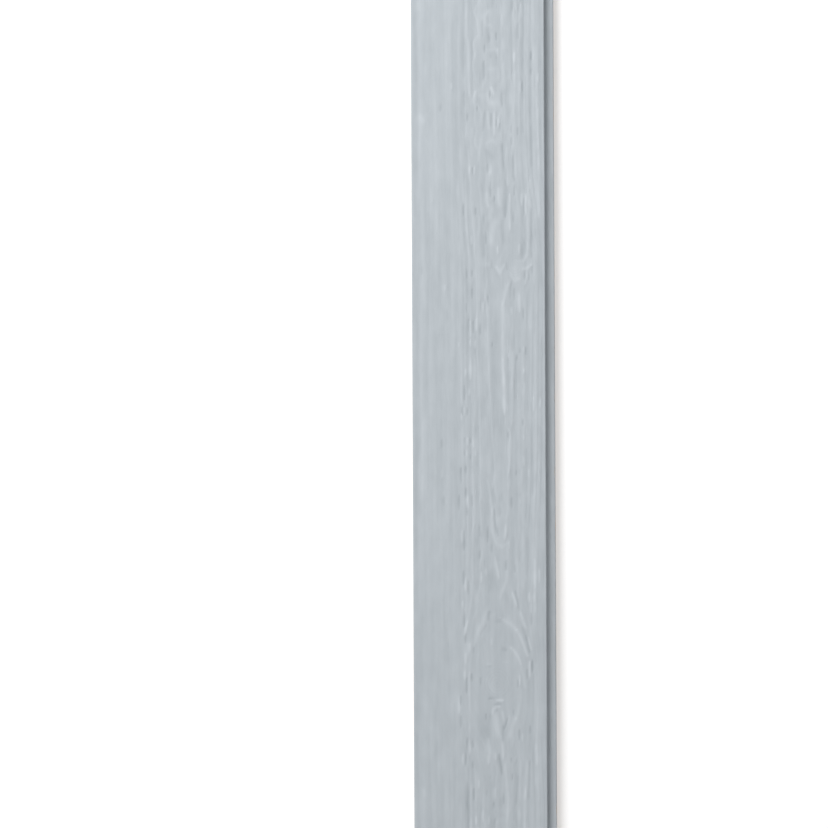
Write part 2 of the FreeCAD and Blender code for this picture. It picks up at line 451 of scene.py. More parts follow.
knotMarks = (
    # round the far knot
    (5.6, 0.90, ((105, 147), (105.5, 142), (107, 138))),
    (1.6, 0.65, ((101, 141), (104.5, 134), (109, 136.5))),
    (1.1, 0.45, ((101, 153.5), (107, 153.8), (113, 153.8))),
    (1.4, 1.30, ((112, 147), (117, 147), (121.5, 151))),
    (1.2, 0.80, ((118.5, 215), (117.8, 175), (117.2, 161), (113.5, 154))),
    (3.8, -0.85, ((113.5, 173), (112.3, 158))),
    (1.2, -1.20, ((121.5, 207), (121.5, 158))),
    (1.6, -0.90, ((121.8, 149), (121.8, 143))),
    (1.2, 1.30, ((87.2, 169), (87.2, 163))),
    (6.0, 0.75, ((84.5, 193), (83, 183), (81, 174))),
    (2.0, 1.10, ((86, 148.5), (90, 142.5), (93.5, 150))),
    (3.0, 0.60, ((75.5, 151.5), (78, 151))),
    (1.5, -0.80, ((81.5, 154), (81.5, 149))),
    (1.5, -0.45, ((82, 149), (85, 144), (89, 137))),
    (1.3, -0.80, ((96.3, 153), (97, 146))),
    (1.3, -0.90, ((102, 135), (100.5, 128), (99.5, 117))),
    (1.5, 1.30, ((99.6, 222), (99.6, 186))),
    (2.0, 0.70, ((99, 133), (96, 124), (93, 113))),
    (2.2, -0.50, ((92, 195), (93, 172))),
    (1.2, 1.60, ((111.8, 222), (111.8, 212))),
    (1.2, 1.65, ((116, 222), (116, 202))),
    (1.0, -1.30, ((114, 218), (114, 201))),
    # up the middle from it
    (2.0, 0.85, ((79, 408), (76, 402), (77, 394), (82, 392))),
    (1.8, 0.55, ((65.5, 326), (65.5, 318))),
    (6.0, 0.50, ((69.5, 322.5), (70.5, 321.5))),
    (1.4, 0.50, ((67, 314), (72, 302))),
    (1.3, 0.70, ((78, 327), (77.8, 318))),
    (1.8, 1.00, ((81.5, 330), (84, 323))),
    (7.0, 0.90, ((82, 314.5), (83, 313.5))),
    (1.9, 0.75, ((77.8, 305), (79, 289))),
    (1.2, -0.75, ((81.4, 304), (80.8, 290))),
    (1.1, 1.25, ((84.4, 305), (84.4, 283))),
    (1.5, -0.85, ((74.5, 305), (73, 287))),
    (1.8, -0.85, ((101.3, 291), (101.3, 285))),
    (1.8, -0.90, ((101.5, 280), (101.5, 273))),
    (1.4, -1.20, ((92, 325), (92.3, 312))),
    (2.6, 0.65, ((77, 274), (82, 277), (86, 273))),
    (4.0, -0.55, ((76, 266), (82, 260))),
    (2.0, 0.60, ((75.5, 253), (76.5, 240), (76, 225))),
    (2.0, 1.15, ((76, 223), (76.8, 214), (77.6, 210.5))),
    (1.5, 0.70, ((80.3, 252), (80.5, 243))),
    (2.6, 0.80, ((88.5, 228), (89.3, 220), (89.3, 211))),
    (2.4, 0.55, ((78, 368), (86, 368))),
    (3.0, 0.60, ((79, 349), (86, 349))),
    (3.6, 0.50, ((82, 208), (79.5, 199))),
    # towards the near knot
    (1.6, 0.80, ((76, -68), (78.5, -82), (80.5, -100), (80.5, -118), (83, -129))),
    (1.2, -1.10, ((82, -97), (83.5, -112), (86.5, -124))),
    (3.2, -0.50, ((89, -82), (89, -105))),
    (1.3, 0.95, ((94, -112), (93.5, -126))),
    (1.8, 0.50, ((84, -131), (90, -135), (96.5, -131))),
    (1.5, 1.30, ((83, -146), (84.5, -154), (87, -167))),
    (4.6, -0.50, ((80, -160), (80, -177))),
    (1.9, 0.70, ((95.5, -160), (95, -169), (91, -179), (88, -187))),
    (3.4, -0.55, ((95.5, -184), (97, -202))),
    (1.4, 1.30, ((100, -181), (102.5, -188), (104.5, -194))),
    (1.2, -1.10, ((103.5, -180), (106, -192), (107.5, -199))),
    (1.2, 1.10, ((106, -148), (106.5, -187))),
    (1.6, 1.45, ((109, -203), (111.5, -211), (114.5, -218))),
    (1.3, 1.10, ((54.8, -211), (52.2, -224))),
    (1.2, -0.80, ((53.2, -223), (53, -231))),
    # the eye of the near knot
    (4.2, 0.70, ((75.5, -199), (70.5, -211), (64, -224), (55, -243))),
    (2.2, -1.20, ((76.8, -201), (75.8, -208))),
    # painted shadow just inside the eye's left outline
    (1.3, -0.55, ((74, -214), (68, -223))),
    (2.2, 0.95, ((88, -207.5), (93, -210), (99, -214), (105, -219.5))),
    (1.7, 1.30, ((104.5, -219), (108.8, -226), (111.6, -235), (115.6, -245.5))),
    (1.2, -1.00, ((110, -216), (112.5, -221), (114.5, -228), (118, -242))),
    (1.2, -0.80, ((114.2, -225), (114.7, -230))),
    (1.1, 1.30, ((116.5, -227), (119.5, -239))),
    (1.3, 1.10, ((123, -148), (123.5, -176))),
    (1.1, 0.90, ((118, -251), (118.5, -268))),
    (1.1, -1.20, ((120.5, -250), (120.5, -262))),
    (3.0, -0.75, ((83, -211), (88.5, -209.5))),
    (1.4, 1.30, ((98, -236.5), (101, -239), (105.5, -245), (109, -253))),
    (2.4, -0.90, ((90.5, -238.5), (93.5, -239))),
    (1.1, 0.90, ((74.5, -253.6), (78.5, -253.3))),
    (1.4, -1.10, ((74, -256.4), (79, -256.4))),
    (1.0, 0.40, ((91, -251.2), (96, -251.2))),
    (1.7, 0.70, ((109, -254), (112, -268), (113.5, -277))),
    (1.4, 0.55, ((109, -280), (109, -290), (106, -303), (103, -310))),
    (3.5, 0.40, ((74, -268), (78, -278), (84, -283))),
    (1.1, -1.60, ((76.5, -288.5), (82, -288.8))),
    (1.2, 1.55, ((84, -290.5), (91, -290))),
    (1.1, -1.30, ((81.5, -294.3), (88.5, -294))),
    (1.5, 1.50, ((79.5, -304), (80.5, -299.5), (83, -297.7), (86.5, -297))),
    (4.6, 1.15, ((82.5, -306), (84, -315), (86.5, -325))),
    (1.7, 0.95, ((89.5, -302), (91.5, -312))),
    (1.2, -1.30, ((94.8, -309), (93, -316), (91.5, -319))),
    (2.0, -1.15, ((90.6, -317), (90.4, -331))),
    (4.4, 1.00, ((103, -309), (100.5, -318), (98, -327))),
    (1.2, 0.70, ((97, -306), (97, -314))),
    (8.0, -0.50, ((75.5, -312), (76, -325))),
    (1.7, 1.35, ((75.8, -330), (77, -344), (76, -354))),
    (1.4, 1.10, ((88, -327), (90, -336), (90.8, -349))),
    (1.8, -1.50, ((86.5, -345), (88, -354), (89.5, -365))),
)

# The short ones, and how more of them are strewn beyond the picture
scattered = {
    "halfWidth": 1.2,
    "strength": 1.1,
    "count": 130,  # beyond each end of the picture
    "from": 425.0,
    "upTo": 990.0,
    "lines": 15,
    "firstLine": 47.0,
    "spacing": 5.2,
    "stray": 0.7,
    "halfLength": (2.0, 8.0),
    "seed": 71,
}

# Those in the picture, as (across, along, half length)
paleDashes = (
    (107, 414, 5), (112, 408, 7), (105, 361, 5), (111, 331, 6), (129, 340, 4), (88, 366, 3),
    (88, 295, 4), (59, 247, 3), (64, 247, 3), (120, 232, 4), (115.2, 133, 1.5), (116.9, 139, 2.5),
    (72, 108, 4), (109, 112, 9), (109, 167, 4), (61, 176, 4), (101, 104, 3), (47, 70, 2), (59, 72, 3),
    (64, 70, 4), (59, 86, 8), (65, 90, 6), (113, 65, 3), (113, 43, 2), (59, 46, 10), (54, 42, 3),
    (58, 22, 3), (53, 3, 3), (50, -3, 3), (56, -28, 3), (62, -30, 4), (55, -40, 2), (64, -40, 2),
    (113, -24, 2), (113, -48, 4), (118, -61, 3), (81, -72, 3), (123, 10, 7), (130, 11, 4),
    (50, -124, 6), (109, -89, 2), (56, -90, 6), (97, -132, 3), (69, -166, 4), (74, -160, 3),
    (53, -173, 6), (118, -186, 4), (123, -187, 4), (128, -165, 6), (79, -231, 3), (53, -248, 5),
    (57, -237, 4), (118, -259, 7), (50, -193, 3), (52, -265, 4), (108, -270, 4), (83, -347, 3),
    (57, -338, 7), (50.5, -350, 5), (103, -350, 2), (110, -328, 3), (76, -412, 3), (70, -408, 6),
    (66, -375, 3), (83, -384, 4), (63, -412, 4), (46, -295, 8), (41, 332, 2), (33, 128, 2),
    (30, -60, 4),
)
darkDashes = (
    (104, 413, 5), (110, 411, 4), (109, 388, 7), (73, 390, 7), (80, 381, 4), (87, 382, 3), (75, 370, 3),
    (81, 362, 2), (87, 362, 2), (74, 348, 9), (80, 324, 3), (86.6, 294, 3), (90, 290, 4), (67, 309, 2),
    (57, 300, 3), (54, 319, 7), (122, 362, 4), (122, 346, 2), (113, 332, 5), (103, 199, 4),
    (108, 286, 3), (77, 249, 4), (62, 246, 3), (80, 227, 7), (84, 218, 2), (65, 205, 3), (53, 207, 6),
    (75, 178, 5), (104, 226, 5), (104, 121, 5), (77, 114, 5), (61, 142, 3), (119, 139, 2.5),
    (114.8, 139.5, 2.5), (56, 142, 4), (61, 122, 4), (55, 108, 4), (57, 90, 6), (62, 88, 6),
    (69, 86, 5), (113, 101, 5), (81, 70, 2), (115, 64, 3), (109, 64, 2), (106, 57, 2), (53, 21, 7),
    (51, 3, 4), (56, 2, 3), (53, -27, 2), (59, -27, 3), (53, -40, 2), (59, -44, 2), (54, -57, 4),
    (49, -62, 7), (54, -80, 4), (97, -21, 3), (112, -9, 3), (105, -60, 2), (47, -90, 7), (60, -88, 5),
    (55, -98, 5), (100, -90, 5), (52, -128, 10), (68, -119, 5), (68, -143, 4), (80, -136, 4),
    (76, -122, 7), (94, -154, 4), (103, -157, 3), (51, -166, 6), (56, -176, 7), (52, -208, 7),
    (61, -239, 2), (73, -307, 3), (77.2, -307, 3), (115.5, -264, 4), (120, -208, 5), (121, -256, 5),
    (54, -275, 7), (59, -267, 3), (48, -290, 4), (68, -271, 3), (84, -300, 1), (101, -303, 2),
    (107, -325, 4), (118, -320, 3), (106, -273, 4), (60, -334, 4), (60, -355, 3), (48, -312, 5),
    (99, -351, 2), (104, -352, 3), (100, -368, 2), (61, -385, 5), (78, -368, 1), (74, -384, 2),
    (91, -390, 5), (81, -396, 2), (82, -415, 4), (27, 174, 1), (30, 310, 3), (36, 100, 6), (31, -88, 5),
    (30, -30, 4),
)


def shortMark(across, along, half, sign):
    # a dash along the grain, written as the longer marks are
    ends = ((across, along - half), (across, along + half))
    return scattered["halfWidth"], sign * scattered["strength"], ends


def strewMarks():
    # short marks in lines along the grain
    chance = np.random.default_rng(scattered["seed"])
    found = []
    for end in (-1, 1):
        for i in range(scattered["count"]):
            line = chance.integers(scattered["lines"]) * scattered["spacing"]
            across = scattered["firstLine"] + line + chance.normal(0, scattered["stray"])
            along = end * chance.uniform(scattered["from"], scattered["upTo"])
            half = chance.uniform(*scattered["halfLength"])
            found.append(shortMark(across, along, half, chance.choice((-1, 1))))
    return found


def allMarks():
    pale = [shortMark(*dash, 1) for dash in paleDashes]
    dark = [shortMark(*dash, -1) for dash in darkDashes]
    return [*grainMarks, *knotMarks, *pale, *dark, *strewMarks()]


marking = {
    "reach": 2.8,  # how far from its line a mark is worked out, in half widths
    "tipShare": 0.5,  # about how wide it still is at its tips
    "taper": 4.0,  # how far from a tip it has its full width, in half widths
}


def markField(x, y):
    # how pale, or below 0 how dark, the paint is along the marks
    across = x - grooveEdge + waver("markDrift", x, y)
    swell = 1 + waver("markSwell", x, y)
    total = np.zeros_like(x)
    for half, strength, path in allMarks():
        reach = marking["reach"] * half
        lowAcross, lowAlong = np.min(path, axis=0) - reach
        highAcross, highAlong = np.max(path, axis=0) + reach
        near = (across > lowAcross) & (across < highAcross) & (y > lowAlong) & (y < highAlong)
        nearX, nearY = across[near], y[near]
        away = np.full(near.sum(), np.inf)
        for (startX, startY), (endX, endY) in zip(path[:-1], path[1:]):
            runX, runY = endX - startX, endY - startY
            t = (nearX - startX) * runX + (nearY - startY) * runY
            t = np.clip(t / (runX**2 + runY**2), 0, 1)
            away = np.minimum(away, np.hypot(nearX - startX - t * runX, nearY - startY - t * runY))
        tips = (path[0], path[-1])
        toTip = np.minimum(*(np.hypot(nearX - tipX, nearY - tipY) for tipX, tipY in tips))
        share = smoothStep(toTip, -half, marking["taper"] * half)
        width = half * swell[near] * (marking["tipShare"] + (1 - marking["tipShare"]) * share)
        total[near] += strength * np.exp(-((away / width) ** 2))
    return total * (1 + waver("markFading", x, y))


def figureField(x, y, age):
    # how strongly the rings show: faint beside the groove, and each coming and going along the board
    shown = smoothStep(x - grooveEdge, brushing["plainUpTo"], brushing["shownFrom"])
    for knot in knots:
        beside, beyond = x - grooveEdge - knot["across"], y - knot["along"]
        reach = np.hypot(beside / knot["wide"], beyond / knot["long"])
        shown = shown * (1 - (1 - knot["shown"]) * (1 - smoothStep(reach, *brushing["calmOver"])))
    pastPicture = abs(y) - picture["workedUpTo"]
    shown = shown * (1 + brushing["moreBeyond"] * smoothStep(pastPicture, 0, brushing["beyondFade"]))
    ring = np.floor(age + brushing["ringTurn"]).astype(np.int64)
    own = 0.5 + 0.5 * cornerValue(ring, ring * 0, ring * 0, brushing["ringSeed"])
    fading = waver("ringFading", x, y) + waver("slowFading", x, y)
    strength = brushing["everyRing"] + brushing["ownShare"] * own + fading
    plain = brushing["plainShare"]
    return (plain + (1 - plain) * shown) * np.clip(strength, *brushing["shownRange"])


def ringSlope(x, y, z, age, aside=0.4, ahead=1.0):
    # rings passed in a millimetre of the face, from short steps across and along it
    across = (ringAge(x + aside, y, z) - age) / aside
    return np.hypot(across, (ringAge(x, y + ahead, z) - age) / ahead)


def ridgeHeight(age, slope):
    # climbs to 1 over the hard late wood of each ring, and drops to 0 at the soft wood of the next
    past = (age + brushing["dropEarly"]) % 1
    drop = np.clip(brushing["dropWidth"] * slope, *brushing["dropRange"])
    fallen = smoothStep(np.where(past < 0.5, past, past - 1) / drop, -0.5, 0.5)
    climb = past ** brushing["climb"]
    return np.where(past < 0.5, 1 - fallen + fallen * climb, (1 - fallen) * climb)


def brushedDrop(x, y, z, age, figure):
    # how far each point of the face lies under the sharp edge of the section
    drop = brushing["ridgeDepth"] * figure * (1 - ridgeHeight(age, ringSlope(x, y, z, age)))
    reach = knotReach(x, y, z)
    inKnot = 1 - smoothStep(reach, *brushing["knotEdge"])
    knotRing = 0.5 + 0.5 * np.cos(2 * math.pi * stem["knotRings"] * reach)
    drop = drop * (1 - inKnot) + inKnot * brushing["knotDepth"] * knotRing
    rim = np.exp(-(((reach - 1) / brushing["rimWidth"]) ** 2))
    rim = rim * smoothStep(waver("rimGaps", x, y), *brushing["rimGaps"])
    drop = drop + brushing["rimDepth"] * rim
    drop = drop + brushing["planedOff"] - brushing["strokeDepth"] * markField(x, y)
    return brushing["floor"] + np.maximum(drop, 0)


# The mesh

meshing = {
    "closeStep": 2.05,  # rows along the face, over the length in the picture
    "closeFade": 30.0,
    "knotStep": 3.3,  # beside the other knots
    "knotSpread": 1.6,  # how far from them, in their own sizes
    "rowStep": 5.4,  # and elsewhere
    "samples": 8001,  # places that the rows are worked out at
    "rowsToOne": 8,  # rows of the face to one row of the other sides
    "endGrid": 1.9,  # grid of the sawn ends
    "endMargin": 0.7,
    "clear": 0.1,  # room beside a line that tells two sets of points apart
    "sharpAngle": 38.0,
}


def rowPlaces():
    fine = np.linspace(nearEnd, farEnd, meshing["samples"])
    density = np.full_like(fine, 1 / meshing["rowStep"])
    inPicture = 1 - smoothStep(abs(fine) - picture["workedUpTo"], 0, meshing["closeFade"])
    density = np.maximum(density, inPicture / meshing["closeStep"])
    for knot in knots:
        away = (fine - knot["along"]) / knot["long"] / meshing["knotSpread"]
        density = np.maximum(density, np.exp(-(away**4)) / meshing["knotStep"])
    passed = np.concatenate(([0], np.cumsum((density[1:] + density[:-1]) / 2 * np.diff(fine))))
    count = meshing["rowsToOne"] * round(passed[-1] / meshing["rowsToOne"])
    rows = np.interp(np.linspace(0, passed[-1], count + 1), passed, fine)
    rows[1], rows[-2] = nearEnd + section["endArris"], farEnd - section["endArris"]
    return rows


def facePath():
    # across the face, with every other point left out where the rings are faint
    path = traceSection(faceCorners(), section["faceStep"])
    across = path[:, 0] - grooveEdge
    plain = (across > section["faceArris"] + meshing["clear"]) & (across < brushing["plainUpTo"])
    return path[~plain | (np.arange(len(path)) % 2 == 0)]


def otherPath():
    # from the face round the tongue, the back and the groove to the face again
    edge = thickness - section["faceArris"]
    corners = tongueCorners() + backCorners() + grooveCorners()
    return traceSection([(shoulder, edge, 0), *corners, (grooveEdge, edge, 0)], section["otherStep"])


def arcLengths(path):
    return np.concatenate(([0], np.cumsum(np.hypot(*np.diff(path, axis=0).T))))


def insideSection(points, outline):
    # which points lie inside the outline, by counting crossings
    inside = np.zeros(len(points), bool)
    for (x0, z0), (x1, z1) in zip(outline, np.roll(outline, -1, axis=0)):
        spans = (points[:, 1] < z0) != (points[:, 1] < z1)
        if z0 != z1:
            inside ^= spans & (points[:, 0] < x0 + (points[:, 1] - z0) / (z1 - z0) * (x1 - x0))
    return inside


def awayFromOutline(points, outline):
    nearest = np.full(len(points), np.inf)
    for a, b in zip(outline, np.roll(outline, -1, axis=0)):
        t = np.clip((points - a) @ (b - a) / max((b - a) @ (b - a), 1e-12), 0, 1)
        nearest = np.minimum(nearest, np.hypot(*(points - a - t[:, None] * (b - a)).T))
    return nearest


def endTriangles(outline):
    # fills the section with small triangles, so that the rings can be drawn on the sawn ends
    step = meshing["endGrid"]
    xs = np.arange(grooveEdge + step / 2, tongueTip, step)
    zs = np.arange(step / 2, thickness, step)
    grid = np.array([(x + (step / 2 if j % 2 else 0), z) for j, z in enumerate(zs) for x in xs])
    grid = grid[insideSection(grid, outline)]
    grid = grid[awayFromOutline(grid, outline) > meshing["endMargin"]]
    rim = len(outline)
    points = [Vector(p) for p in np.vstack((outline, grid))]
    found = geometry.delaunay_2d_cdt(points, [(i, (i + 1) % rim) for i in range(rim)], [], 1, 1e-6)
    triangles, sources = found[2:4]
    return grid, [[sources[i][0] for i in triangle] for triangle in triangles]


# Where each side lies on the baked map, and the size there of a millimetre along and across the board
bakeMap = {
    "gap": 0.006,
    "faceParts": 3,
    "faceAlong": 0.00145,
    "faceAcross": 0.00141,
    "otherParts": 2,
    "otherAlong": 0.00097,
    "otherAcross": 0.00073,
    "end": 0.0020,
    "farEndRight": 0.5,  # how far right of the near end the far one lies
}


def buildBoard():
    # returns the points, the polygons, and each corner's side and place on it
    facePoints, otherPoints = facePath(), otherPath()
    rows = rowPlaces()
    step = meshing["rowsToOne"]
    coarse = rows[::step]
    across, inner = len(facePoints), len(otherPoints) - 2

    faceX, faceY = np.meshgrid(facePoints[:, 0], rows)
    faceZ = np.broadcast_to(facePoints[:, 1], faceX.shape)
    age = ringAge(faceX, faceY, faceZ)
    drop = brushedDrop(faceX, faceY, faceZ, age, figureField(faceX, faceY, age))
    drop = drop * smoothStep(faceZ, thickness - section["faceArris"], thickness)
    toEnd = np.minimum(faceY - nearEnd, farEnd - faceY)
    bevel = thickness - np.maximum(section["endArris"] - toEnd, 0)
    face = np.stack((faceX, faceY, np.minimum(faceZ - drop, bevel)), -1).reshape(-1, 3)

    otherX, otherY = np.meshgrid(otherPoints[1:-1, 0], coarse)
    otherZ = np.broadcast_to(otherPoints[1:-1, 1], otherX.shape)
    other = np.stack((otherX, otherY, otherZ), -1).reshape(-1, 3)
    firstOther = len(face)

    faceArc, otherArc = arcLengths(facePoints), arcLengths(otherPoints)
    polygons, places, kinds = [], [], []

    def addPolygon(kind, corners):
        polygons.append([index for index, _ in corners])
        places.append([place for _, place in corners])
        kinds.append(kind)

    def onFace(r, c):
        return r * across + c, (rows[r], faceArc[c])

    def onOther(q, s):
        return firstOther + q * inner + s, (coarse[q], otherArc[s + 1])

    def quad(place, r, c):
        return [place(r, c), place(r, c + 1), place(r + 1, c + 1), place(r + 1, c)]

    for r in range(len(rows) - 1):
        for c in range(across - 1):
            addPolygon("face", quad(onFace, r, c))
    for q in range(len(coarse) - 1):
        edgeRows = range(q * step, q * step + step + 1)
        besideTongue = [(r * across + across - 1, (rows[r], 0)) for r in edgeRows]
        besideGroove = [(r * across, (rows[r], otherArc[-1])) for r in edgeRows]
        addPolygon("other", [besideTongue[0], onOther(q, 0), onOther(q + 1, 0), *besideTongue[:0:-1]])
        for s in range(inner - 1):
            addPolygon("other", quad(onOther, q, s))
        addPolygon("other", [onOther(q, inner - 1), *besideGroove, onOther(q + 1, inner - 1)])

    points = [face, other]
    for kind, faceRow, otherRow in (("nearEnd", 0, 0), ("farEnd", len(rows) - 1, len(coarse) - 1)):
        rim = [faceRow * across + c for c in range(across)]
        rim += [firstOther + otherRow * inner + s for s in range(inner)]
        rim = rim[::-1]  # anticlockwise, seen from the near end
        outline = np.vstack((face, other))[rim][:, [0, 2]]
        grid, triangles = endTriangles(outline)
        firstGrid = sum(len(part) for part in points)
        points.append(np.column_stack((grid[:, 0], np.full(len(grid), rows[faceRow]), grid[:, 1])))
        indices = rim + [firstGrid + i for i in range(len(grid))]
        flat = np.vstack((outline, grid))
        for triangle in triangles:
            order = triangle if kind == "nearEnd" else triangle[::-1]
            addPolygon(kind, [(indices[i], tuple(flat[i])) for i in order])
    return np.vstack(points), polygons, places, kinds, coarse


def mapCorners(places, kinds, coarse):
    # lays the face out in three lengths, the other sides in two, and the ends above them
    gap, endScale = bakeMap["gap"], bakeMap["end"]
    widths = {"face": coverWidth + section["faceArris"], "other": arcLengths(otherPath())[-1]}
    starts, bases, base = {}, {}, gap
    for kind, width in widths.items():
        parts, band = bakeMap[kind + "Parts"], width * bakeMap[kind + "Across"] + gap
        cuts = nearEnd + boardLength / parts * np.arange(parts)
        starts[kind] = [coarse[np.argmin(abs(coarse - cut))] for cut in cuts]
        bases[kind] = base + band * np.arange(parts)
        base += band * parts
    corners = []
    for kind, at in zip(kinds, places):
        if kind in starts:
            part = np.searchsorted(starts[kind], sum(place[0] for place in at) / len(at)) - 1
            start, low = starts[kind][part], bases[kind][part]
            along, across = bakeMap[kind + "Along"], bakeMap[kind + "Across"]
            corners += [(gap + (y - start) * along, low + s * across) for y, s in at]
        else:
            left = gap + (bakeMap["farEndRight"] if kind == "farEnd" else 0)
            corners += [(left + (x - grooveEdge) * endScale, base + z * endScale) for x, z in at]
    return np.array(corners, np.float32)


print("brushing the board and laying out its map")
points, polygons, places, kinds, coarseRows = buildBoard()
mesh = bpy.data.meshes.new("paintedBoard")
mesh.from_pydata([tuple(point * mm) for point in points], [], polygons)
board = bpy.data.objects.new("paintedBoard", mesh)
bpy.context.scene.collection.objects.link(board)
mesh.shade_smooth()
mesh.set_sharp_from_angle(angle=math.radians(meshing["sharpAngle"]))
corners = mapCorners(places, kinds, coarseRows)
mesh.uv_layers.new(name="OFBake").uv.foreach_set("vector", corners.ravel())
print("map spans", corners.min(0).round(3), "to", corners.max(0).round(3))

x, y, z = points.T
ages = ringAge(x, y, z)


def addAttribute(name, values):
    attribute = mesh.attributes.new(name, "FLOAT", "POINT")
    attribute.data.foreach_set("value", np.asarray(values, np.float32))


overspray = {
    "tongue": 0.95,  # at its root, and less at its tip
    "tongueTip": 0.75,
    "fullUnder": 0.3,  # how far below the upper side of the tongue the paint starts to fade
    "fadeUnder": 3.0,  # and has faded away
    "groove": 0.8,
    "intoGroove": 1.2,
    "ontoLip": 0.4,  # how far up the rounding of the lip the groove counts
}


def paintCover():
    # 1 on the face and the shoulder over the joint, fading round the tongue and over the lip
    upper = jointHeight + section["grooveMouth"] / 2 - section["tonguePlay"]
    cover = smoothStep(z, upper - overspray["fadeUnder"], upper - overspray["fullUnder"])
    onTongue = (x > shoulder + meshing["clear"]) & (z < upper + meshing["clear"])
    spread = smoothStep(x, tongueTip, shoulder)
    tongue = overspray["tongueTip"] + (overspray["tongue"] - overspray["tongueTip"]) * spread
    cover = np.where(onTongue, cover * tongue, cover)
    underLip = z < thickness - section["faceLip"] + overspray["ontoLip"]
    inGroove = (x > grooveEdge) & (x < 0) & underLip  # 0 is the middle of the board
    faded = overspray["groove"] * (1 - smoothStep(x - grooveEdge, 0, overspray["intoGroove"]))
    return np.where(inGroove, faded * cover, cover)


addAttribute("ringAge", ages)
addAttribute("figure", figureField(x, y, ages))
addAttribute("marks", markField(x, y))
addAttribute("paint", paintCover())
triangleCount = sum(len(polygon) - 2 for polygon in polygons)
print("board mesh:", len(points), "vertices,", triangleCount, "triangles")


# Finishes

# The noise that the wood is drawn with: the width and length of its features in mm, and its
# detail and shift
grain = {
    "fibre": (2.2, 26.0, 2.0, 0.0),
    "hair": (0.5, 22.0, 2.0, 7.0),
    "clouds": (26.0, 95.0, 2.0, 13.0),
    "dashes": (1.9, 11.0, 0.0, 31.0),
    "clusters": (12.0, 45.0, 1.0, 61.0),
    "bands": (6.5, 170.0, 1.0, 43.0),
    "patches": (8.5, 24.0, 2.0, 53.0),
    "pores": (0.31, 5.0, 2.0, 17.0),
}

ringLook = {
    "ringFray": 0.25,  # how far the fibre frays the rings, in rings
    "knotFray": 0.12,
    "lateWood": ((0.0, 0.0), (0.45, 0.12), (0.80, 1.0), (0.92, 1.0), (1.0, 0.0)),  # in one ring
    "knotEdge": (0.92, 1.06),
}

specular = 0.35  # of every finish


def addNode(tree, kind, **settings):
    node = tree.nodes.new("ShaderNode" + kind)
    for name, value in settings.items():
        setattr(node, name, value)
    return node


def plug(tree, socket, value):
    # links a socket, or sets a plain number or colour
    if isinstance(value, bpy.types.NodeSocket):
        tree.links.new(value, socket)
    elif isinstance(value, tuple) and socket.type == "RGBA":
        socket.default_value = (*value, 1)
    else:
        socket.default_value = value


def sums(tree, operation, *values, clamp=False):
    node = addNode(tree, "Math", operation=operation, use_clamp=clamp)
    for socket, value in zip(node.inputs, values):
        plug(tree, socket, value)
    return node.outputs[0]


def vectorSums(tree, operation, *values):
    node = addNode(tree, "VectorMath", operation=operation)
    for socket, value in zip(node.inputs, values):
        plug(tree, socket, value)
    return node.outputs["Value" if operation == "LENGTH" else "Vector"]


def addUp(tree, first, *others):
    for other in others:
        first = sums(tree, "ADD", first, other)
    return first


def times(tree, first, *others):
    for other in others:
        first = sums(tree, "MULTIPLY", first, other)
    return first


def centred(tree, value, middle, weight):
    return sums(tree, "MULTIPLY", sums(tree, "SUBTRACT", value, middle), weight)


def mixColours(tree, share, first, second, blend="MIX"):
    node = addNode(tree, "Mix", data_type="RGBA", blend_type=blend)
    for socket, value in zip((node.inputs[0], node.inputs[6], node.inputs[7]), (share, first, second)):
        plug(tree, socket, value)
    return node.outputs[2]


def mixNumbers(tree, share, first, second):
    node = addNode(tree, "Mix", data_type="FLOAT")
    for socket, value in zip((node.inputs[0], node.inputs[2], node.inputs[3]), (share, first, second)):
        plug(tree, socket, value)
    return node.outputs[0]


def ramp(tree, value, stops):
    node = addNode(tree, "ValToRGB")
    elements = node.color_ramp.elements
    while len(elements) < len(stops):
        elements.new(0.5)
    for element, (place, level) in zip(elements, stops):
        element.position = place
        element.color = (level, level, level, 1)
    plug(tree, node.inputs[0], value)
    return node.outputs[0]


def between(tree, value, start, end):
    # 0 below start, 1 over end, and smooth between
    node = addNode(tree, "MapRange", interpolation_type="SMOOTHSTEP")
    for name, number in (("Value", value), ("From Min", start), ("From Max", end)):
        plug(tree, node.inputs[name], number)
    return node.outputs[0]


def stretchedNoise(tree, places, shares, detail=2.0, shift=0.0):
    # noise over places scaled by these shares
    squeezed = vectorSums(tree, "MULTIPLY", places, shares)
    squeezed = vectorSums(tree, "ADD", squeezed, (shift, shift, shift))
    node = addNode(tree, "TexNoise")
    plug(tree, node.inputs["Vector"], squeezed)
    for name, number in (("Scale", 1.0), ("Detail", detail), ("Roughness", 0.5)):
        node.inputs[name].default_value = number
    return node.outputs["Fac"]


def grainNoise(tree, places, name):
    across, along, detail, shift = grain[name]
    return stretchedNoise(tree, places, (1 / across, 1 / along, 1 / across), detail, shift)


def readAttribute(tree, name):
    return addNode(tree, "Attribute", attribute_name=name).outputs["Fac"]


